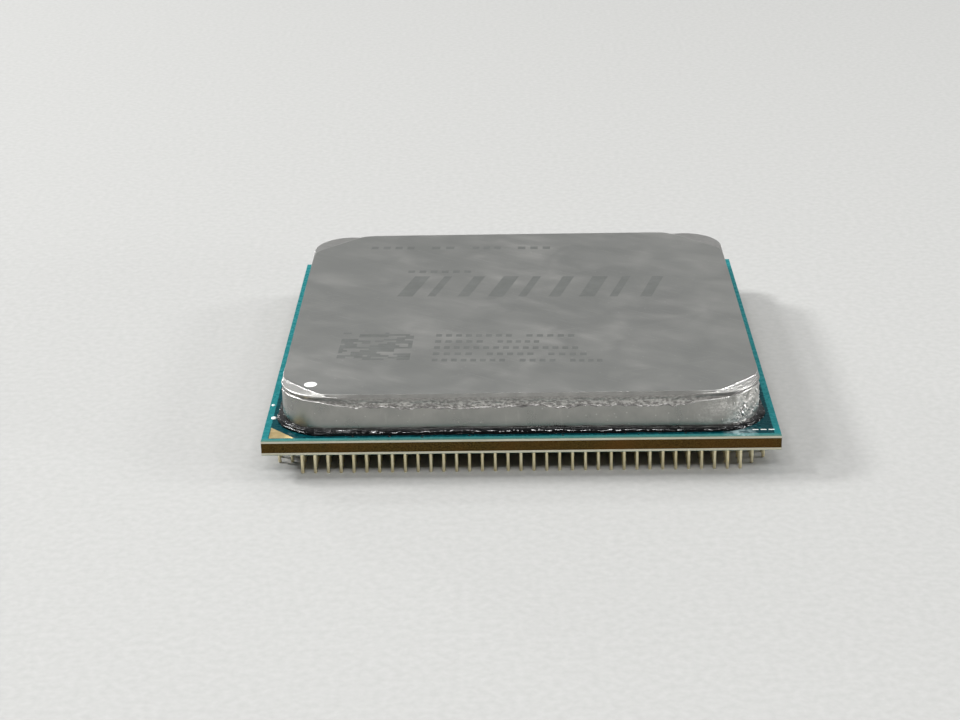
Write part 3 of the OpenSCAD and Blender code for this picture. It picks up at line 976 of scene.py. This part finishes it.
def bead_section(place):
    """The bead's section at one point of the wall, as pairs of a distance out from it and a height."""
    width = BEAD_HALF - LID_HALF
    height = BEAD_TOP - PACKAGE_TOP
    width *= 0.86 + 0.12 * wander(place, 3.2 * MM, 11) + 0.09 * roughness_noise(place, 0.9 * MM, 12)
    height *= 0.88 + 0.1 * wander(place, 4 * MM, 13) + 0.08 * roughness_noise(place, 1.2 * MM, 14)
    if place.y < 0:
        height *= mix(1, 0.72, smooth_step(2 * MM, 12 * MM, place.x))
    ropy = 1 - smooth_step(3 * MM, 9 * MM, (place - ROPY_CORNER).length)
    lumpy = 1 - smooth_step(2.5 * MM, 6 * MM, (place - GALLED_CORNER).length)
    section = []
    for step in range(BEAD_ROWS + 1):
        angle = math.pi / 2 * step / BEAD_ROWS
        along = width * math.sin(angle) ** 0.85
        up = height * math.cos(angle) ** 1.15 if step < BEAD_ROWS else 0
        spot = (place.x, place.y, angle * 0.5 * MM)
        bulge = math.sin(2 * angle)
        swell = bulge * (0.06 * MM * wander(spot, 1.3 * MM, 15)
                         + 0.025 * MM * roughness_noise(spot, 0.5 * MM, 16))
        swell += ropy * bulge * 0.03 * MM * math.cos(11 * angle + 3 * wander(place, 2 * MM, 17))
        swell += lumpy * bulge * 0.09 * MM * wander(spot, 0.7 * MM, 18)
        section.append((along + swell * math.sin(angle), up + swell * math.cos(angle)))
    return section


def make_seal():
    wall, outs = rounded_rectangle(LID_HALF, LID_HALF, LID_CORNER)
    inner, _ = rounded_rectangle(SEAL_INNER_HALF, SEAL_INNER_HALF, SEAL_INNER_CORNER)
    under = 0.1 * MM
    sections = []
    for side, out, inside in zip(wall, outs, inner):
        if side.y > LID_HALF - MM and abs(side.x) < VENT_HALF:
            continue
        points = [side + out * along + Vector((0, 0, PACKAGE_TOP + max(up, 0)))
                  for along, up in bead_section(side)]
        low_inner = Vector((inside.x, inside.y, PACKAGE_TOP))
        high_inner = Vector((inside.x, inside.y, LID_FOOT))
        foot = side - out * under + Vector((0, 0, LID_FOOT))
        tucked = side - out * under + Vector((0, 0, points[0].z))
        sections.append(points + [low_inner, high_inner, foot, tucked])
    first = next(number for number, section in enumerate(sections)
                 if section[0].y > LID_HALF - MM and section[0].x <= -VENT_HALF)
    ordered = sections[first:] + sections[:first]
    return loft(ordered, (0, len(ordered) - 1))


def add_strings(mesh):
    """Strings and beads of silicone on the seal's face, most of them at the front corners."""
    wall, outs = rounded_rectangle(LID_HALF, LID_HALF, LID_CORNER)
    for _ in range(STRINGS):
        number = random.randrange(len(wall))
        side, out = wall[number], outs[number]
        away = min((side - ROPY_CORNER).length, (side - GALLED_CORNER).length * 1.6)
        if side.y > LID_HALF - MM and abs(side.x) < VENT_HALF + MM:
            continue
        if random.random() < smooth_step(3 * MM, 30 * MM, away):
            continue
        across, up = bead_section(side)[random.randrange(BEAD_ROWS // 3, BEAD_ROWS)]
        thickness = random.uniform(0.02, 0.05) * MM
        length = thickness * random.choice((1.2, 1.5, 4, 8, 12))
        place = side + out * across + Vector((0, 0, PACKAGE_TOP + up))
        add_blob(mesh, place, Vector((-out.y, out.x, 0)), out, (length, thickness, thickness * 0.7))


def add_drops(mesh):
    """Small drops of silicone on the mask beside the seal."""
    for _ in range(DROPS):
        turn = Matrix.Rotation(math.pi / 2 * random.choice((0, 0, 1, 2, 3)), 3, "Z")
        out = BEAD_HALF + random.uniform(-0.02, 0.32) * MM
        place = turn @ Vector((random.uniform(-17, 17) * MM, -out, PACKAGE_TOP))
        size = random.uniform(0.03, 0.09) * MM
        along, outwards = turn @ Vector((1, 0, 0)), turn @ Vector((0, -1, 0))
        add_blob(mesh, place, along, outwards, (size * 1.4, size, size * 0.7))


def make_glint_flecks():
    """Two pale flecks on the package's left border, painted highlights standing in for two glints on the
    sealant.
    """
    mesh = bmesh.new()
    for x, y, size in ((-19.75, -13.1, 0.15), (-19.45, -15.6, 0.22)):
        place = Vector((x * MM, y * MM, PACKAGE_TOP))
        sizes = (size * MM, size * 1.3 * MM, 0.05 * MM)
        add_blob(mesh, place, Vector((1, 0, 0)), Vector((0, -1, 0)), sizes)
    finish_piece("painted_glint_flecks", mesh, (ink(),))


# ---- Pins' braze ----


def pin_centres(node):
    """The pins' places. Every vertex of a CAD disc lies nearest to the grid place of its own pin."""
    mesh = frame["nodes"][node].data
    flat = np.zeros(len(mesh.vertices) * 3, np.float32)
    mesh.vertices.foreach_get("co", flat)
    places = np.unique(np.round(flat.reshape(-1, 3)[:, :2] / MM).astype(int), axis=0)
    return [(x * MM, y * MM) for x, y in places.tolist()]


def make_braze(half):
    """The hollow fillets of braze from each pin's head out to its land, as one piece."""
    head_side = 0.325 * MM
    land_edge = 0.41 * MM
    foot = braze_low.z - 0.07 * MM
    turns = 20
    profile = []
    for step in range(5):
        angle = math.pi / 2 * step / 4
        profile.append((land_edge - (land_edge - head_side) * math.cos(angle),
                        foot + (braze_high.z - foot) * math.sin(angle)))
    profile += [(head_side * 0.5, braze_high.z), (head_side * 0.5, foot)]
    points = []
    faces = []
    for x, y in pin_centres("pin_braze_" + half):
        lift = 1 + 0.25 * wander((x, y, 0), 1.3 * MM, 21)
        base = len(points)
        for radius, height in profile:
            for step in range(turns):
                angle = 2 * math.pi * step / turns
                tall = braze_high.z - (braze_high.z - height) * (lift if height < braze_low.z else 1)
                points.append((x + radius * math.cos(angle), y + radius * math.sin(angle), tall))
        rows = len(profile)
        for row in range(rows):
            beyond = (row + 1) % rows
            for step in range(turns):
                beside = (step + 1) % turns
                faces.append((base + row * turns + step, base + row * turns + beside,
                              base + beyond * turns + beside, base + beyond * turns + step))
    data = bpy.data.meshes.new("shape")
    data.from_pydata(points, [], faces)
    mesh = bmesh.new()
    mesh.from_mesh(data)
    bpy.data.meshes.remove(data)
    for face in mesh.faces:
        face.smooth = True
    return mesh


# ---- Stage ----

LENS = 75.9
CAMERA_PLACE = Vector((-0.3 * MM, -161.1 * MM, 68.4 * MM))
CAMERA_AZIMUTH = math.radians(-1.10)
CAMERA_ELEVATION = math.radians(22.56)
CAMERA_ROLL = math.radians(-1.12)
# The name, place, width, height and watts of each soft box
LIGHTS = (
    ("key", (-0.12, 0.1, 0.8), 0.6, 0.5, 0.6),
    ("glint_front_left", (-0.24, -0.42, 0.58), 0.16, 0.1, 0.9),
    ("glint_front", (0.0, -0.5, 0.56), 0.1, 0.06, 1.3),
    ("glint_front_right", (0.24, -0.42, 0.58), 0.16, 0.1, 0.8),
    ("glint_left", (-0.53, 0.17, 0.42), 0.14, 0.1, 3.2),
    ("glint_high_left", (-0.5, 0.0, 0.58), 0.12, 0.1, 1.6),
    ("glint_back_left", (-0.45, 0.65, 0.15), 0.1, 0.06, 0.9),
    ("crease_left", (-0.22, 0.5, 0.56), 0.05, 0.05, 0.4),
    ("crease_right", (0.22, 0.5, 0.56), 0.05, 0.05, 0.4),
    ("glint_right", (0.6, 0.06, 0.33), 0.1, 0.12, 1.1),
    ("glint_high_right", (0.5, 0.0, 0.58), 0.1, 0.1, 0.7),
    ("glint_right_low", (0.66, -0.23, 0.09), 0.06, 0.14, 1.8),
)


def make_camera():
    data = bpy.data.cameras.new("camera")
    data.lens = LENS
    data.sensor_width = 36
    data.clip_start = 0.01
    data.clip_end = 20
    camera = add_object("camera", data)
    level = math.cos(CAMERA_ELEVATION)
    forward = Vector((math.sin(CAMERA_AZIMUTH) * level, math.cos(CAMERA_AZIMUTH) * level,
                      -math.sin(CAMERA_ELEVATION)))
    right = Vector((math.cos(CAMERA_AZIMUTH), -math.sin(CAMERA_AZIMUTH), 0))
    up = right.cross(forward)
    rolled_right = math.cos(CAMERA_ROLL) * right + math.sin(CAMERA_ROLL) * up
    rolled_up = math.cos(CAMERA_ROLL) * up - math.sin(CAMERA_ROLL) * right
    camera.matrix_world = Matrix.Translation(CAMERA_PLACE) @ Matrix(
        (rolled_right, rolled_up, -forward)).transposed().to_4x4()
    bpy.context.scene.camera = camera


def make_floor():
    mesh = bmesh.new()
    bmesh.ops.create_circle(mesh, cap_ends=True, segments=96, radius=4)
    data = bpy.data.meshes.new("floor")
    mesh.to_mesh(data)
    mesh.free()
    finish = Finish("pale_floor", Roughness=0.8)
    grain = finish.cloud(0.6 * MM, 3)
    finish.paint(finish.shade(grain, 0.3, 0.7, (0.38, 0.38, 0.37), (0.42, 0.42, 0.41)))
    data.materials.append(finish.material)
    floor = add_object("floor", data)


def make_light(name, place, size_x, size_y, watts):
    """A soft box that points at the origin."""
    data = bpy.data.lights.new(name, "AREA")
    data.shape = "RECTANGLE"
    data.size = size_x
    data.size_y = size_y
    data.energy = watts
    light = add_object(name, data)
    light.location = place
    light.rotation_euler = (-Vector(place)).to_track_quat("-Z", "Y").to_euler()


def make_sky():
    """A plain studio room, brightest high up and behind the object."""
    world = bpy.data.worlds.new("room")
    bpy.context.scene.world = world
    world.use_nodes = True
    nodes, links = world.node_tree.nodes, world.node_tree.links
    place = nodes.new("ShaderNodeTexCoord")
    split = nodes.new("ShaderNodeSeparateXYZ")
    ramp = nodes.new("ShaderNodeValToRGB")
    depth = nodes.new("ShaderNodeMapRange")
    links.new(place.outputs["Generated"], split.inputs["Vector"])
    links.new(split.outputs["Z"], ramp.inputs["Fac"])
    links.new(split.outputs["Y"], depth.inputs["Value"])
    links.new(ramp.outputs["Color"], nodes["Background"].inputs["Color"])
    links.new(depth.outputs["Result"], nodes["Background"].inputs["Strength"])
    stops = ramp.color_ramp.elements
    for stop, (height, level) in zip((stops[0], stops[1], stops.new(0.35), stops.new(0.75)),
                                     ((0.0, 0.18), (1.0, 0.42), (0.35, 0.4), (0.75, 0.54))):
        stop.position = height
        stop.color = (level, level * 1.005, level * 1.01, 1)
    for socket, value in (("From Min", -0.2), ("From Max", 1), ("To Min", 0.32), ("To Max", 1.2)):
        depth.inputs[socket].default_value = value


bpy.context.scene.view_settings.view_transform = "Standard"
make_camera()
make_floor()
make_sky()
for light in LIGHTS:
    make_light(*light)

paint_cad_nodes()
make_lid()
make_marks()
make_dot()
seal = make_seal()
add_strings(seal)
add_drops(seal)
finish_piece("seal_bead", seal, (silicone(),), ("lid_seal",))
# Two pale flecks on the left border: painted highlights
make_glint_flecks()
braze = plain_metal("braze_solder", (0.66, 0.65, 0.62), (0.5, 0.49, 0.46), 0.3, 0.2, 0.38, 0.006)
for half in ("front", "back"):
    finish_piece("braze_fillets_" + half, make_braze(half), (braze.material,),
                 ("pin_braze_" + half,))
